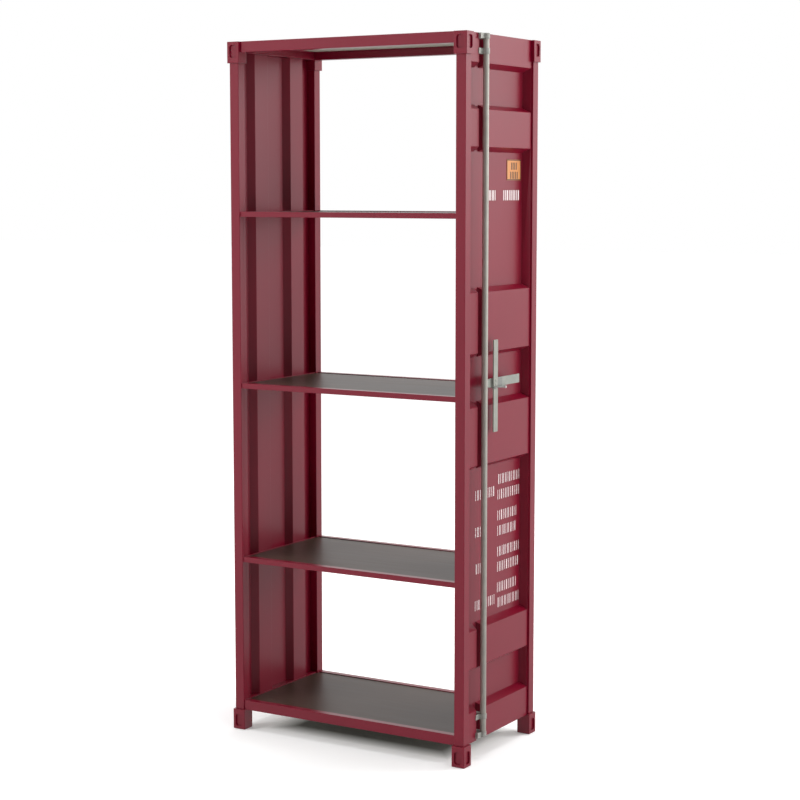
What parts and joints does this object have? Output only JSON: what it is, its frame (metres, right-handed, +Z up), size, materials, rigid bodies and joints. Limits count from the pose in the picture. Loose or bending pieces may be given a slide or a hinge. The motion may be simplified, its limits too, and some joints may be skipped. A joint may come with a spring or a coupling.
{
  "type": "open bookcase",
  "caption": "Tall open bookcase styled as a shipping container: corrugated left wall, pressed door panel with a turning lock rod and lever on the right, framed shelves, corner castings.",
  "frame": {"origin": "on the floor, at the middle of the whole footprint, the lock rod's brackets included", "axes": "+X to the right, towards the door panel; the open front faces -Y; +Z up"},
  "size_m": [0.788, 0.43, 2],
  "materials": {
    "red_paint": "gloss",
    "shelf_board": "satin",
    "zinc_steel": "satin",
    "bright_steel": "polished",
    "brass": "satin",
    "orange_plate": "satin",
    "black_plastic": "matte"
  },
  "bodies": {
    "carcass": {"casting_top_front_left": "red_paint", "casting_top_rear_left": "red_paint", "casting_top_front_right": "red_paint", "casting_top_rear_right": "red_paint", "casting_foot_front_left": "red_paint", "casting_foot_rear_left": "red_paint", "casting_foot_front_right": "red_paint", "casting_foot_rear_right": "red_paint", "foot_glides": "black_plastic", "post_front_left": "red_paint", "post_rear_left": "red_paint", "post_front_right": "red_paint", "post_rear_right": "red_paint", "top_rail_front": "red_paint", "top_rail_rear": "red_paint", "top_rail_left": "red_paint", "top_rail_right": "red_paint", "sill_rail_left": "red_paint", "left_wall_panel": "red_paint", "door_panel": "red_paint", "upper_shelf_frame": "red_paint", "middle_shelf_frame": "red_paint", "lower_shelf_frame": "red_paint", "bottom_shelf_frame": "red_paint", "top_board": "shelf_board", "upper_shelf_board": "shelf_board", "middle_shelf_board": "shelf_board", "lower_shelf_board": "shelf_board", "bottom_shelf_board": "shelf_board", "shelf_bolts": "bright_steel", "threaded_inserts": "brass", "rod_bracket_top": "zinc_steel", "rod_bracket_upper": "zinc_steel", "rod_bracket_lower": "zinc_steel", "rod_bracket_bottom": "zinc_steel", "lever_rest": "zinc_steel", "label_plate": "orange_plate"},
    "lock_rod": {"lock_rod": "zinc_steel", "lever": "zinc_steel", "grip_spacer": "zinc_steel", "grip_bar": "zinc_steel", "grip_rivets": "bright_steel", "cross_bar": "zinc_steel"}
  },
  "joints": [
    {"name": "rod_turn", "type": "hinge", "parent": "carcass", "child": "lock_rod", "pos_m": [0.384, -0.104, 1], "axis": [0, 0, -1], "range_deg": [0, 90]}
  ]
}
